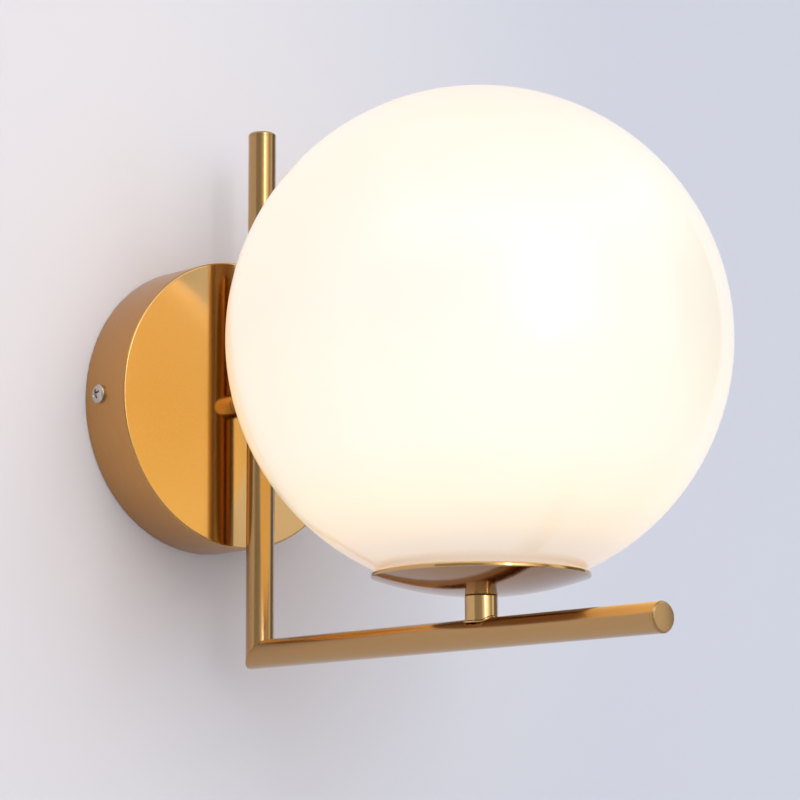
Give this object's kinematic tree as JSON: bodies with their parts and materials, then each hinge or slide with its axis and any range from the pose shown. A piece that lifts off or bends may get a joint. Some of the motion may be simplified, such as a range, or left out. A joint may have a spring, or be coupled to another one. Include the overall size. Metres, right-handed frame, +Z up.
{
  "type": "globe wall sconce",
  "caption": "Wall light: round canopy, upright tube mitred to a level arm, shallow dish on a short neck, and an opal glass globe that unscrews over the bulb.",
  "frame": {"origin": "centre of the canopy's back, on the wall, at the wall bracket's back face", "axes": "+Z up, +Y into the wall, the light stands out to -Y"},
  "size_m": [0.2, 0.276, 0.2325],
  "materials": {
    "satin_brass": "brushed, lacquered",
    "polished_brass": "polished, lacquered",
    "nickel_screw": "bright nickel",
    "zinc_steel": "zinc plated",
    "turned_brass": "as turned",
    "block_plastic": "moulded nylon",
    "opal_glass": "satin opal, lit",
    "ring_metal": "cast, plain",
    "silicone": "translucent silicone",
    "holder_plastic": "moulded thermoplastic",
    "holder_ceramic": "unglazed",
    "nickel_shell": "nickel-plated brass",
    "contact_bronze": "phosphor bronze",
    "solder": "solder",
    "black_glass": "vitrite insulator",
    "bulb_plastic": "moulded white",
    "diffuser_plastic": "frosted",
    "board": "white solder mask",
    "wire_brown": "silicone sleeve",
    "wire_blue": "silicone sleeve",
    "wire_green": "silicone sleeve"
  },
  "bodies": {
    "fixture": {"canopy": "polished_brass", "wall_bracket": "zinc_steel", "side_screws": "nickel_screw", "earth_screw": "turned_brass", "terminal_block": "block_plastic", "terminal_screws": "zinc_steel", "block_screw": "zinc_steel", "stem": "satin_brass", "stem_nipple": "turned_brass", "earth_tag": "zinc_steel", "stem_nut": "zinc_steel", "riser_tube": "satin_brass", "arm_tube": "satin_brass", "riser_cap": "satin_brass", "arm_cap": "satin_brass", "neck": "polished_brass", "dish": "polished_brass", "dish_nipple": "turned_brass", "dish_washer": "zinc_steel", "dish_nut": "zinc_steel", "fitter_hub": "ring_metal", "holder_base": "holder_plastic", "holder_skirt": "holder_plastic", "holder_core": "holder_ceramic", "holder_terminals": "turned_brass", "thread_shell": "nickel_shell", "centre_contact": "contact_bronze", "live_wire": "wire_brown", "neutral_wire": "wire_blue", "earth_wire": "wire_green"},
    "shade_carrier": {"shade_o_ring": "silicone"},
    "shade_riser": {"shade_gasket": "silicone"},
    "shade": {"shade_ring": "ring_metal", "glass_globe": "opal_glass", "bond_bead": "silicone"},
    "bulb_carrier": {"bulb_contact": "solder"},
    "bulb_riser": {"bulb_insulator": "black_glass"},
    "bulb": {"bulb_cap": "nickel_shell", "bulb_housing": "bulb_plastic", "bulb_diffuser": "diffuser_plastic", "led_board": "board"}
  },
  "joints": [
    {"name": "shade_lift_off", "type": "slide", "parent": "fixture", "child": "shade_carrier", "axis": [0, 0, 1], "range_m": [0, 0.15]},
    {"name": "shade_rise", "type": "slide", "parent": "shade_carrier", "child": "shade_riser", "axis": [0, 0, 1], "range_m": [0, 0.006]},
    {"name": "shade_turn", "type": "hinge", "parent": "shade_riser", "child": "shade", "pos_m": [0, -0.176, 0], "axis": [0, 0, 1], "range_deg": [0, 540]},
    {"name": "bulb_lift_out", "type": "slide", "parent": "fixture", "child": "bulb_carrier", "axis": [0, 0, 1], "range_m": [0, 0.03]},
    {"name": "bulb_rise", "type": "slide", "parent": "bulb_carrier", "child": "bulb_riser", "axis": [0, 0, 1], "range_m": [0, 0.01089]},
    {"name": "bulb_turn", "type": "hinge", "parent": "bulb_riser", "child": "bulb", "pos_m": [0, -0.176, 0], "axis": [0, 0, 1], "range_deg": [0, 1080]}
  ],
  "couplings": [
    {"joint": "shade_rise", "follows": "shade_turn", "m_per_rad": 0.00063662},
    {"joint": "bulb_rise", "follows": "bulb_turn", "m_per_rad": 0.00057757}
  ]
}
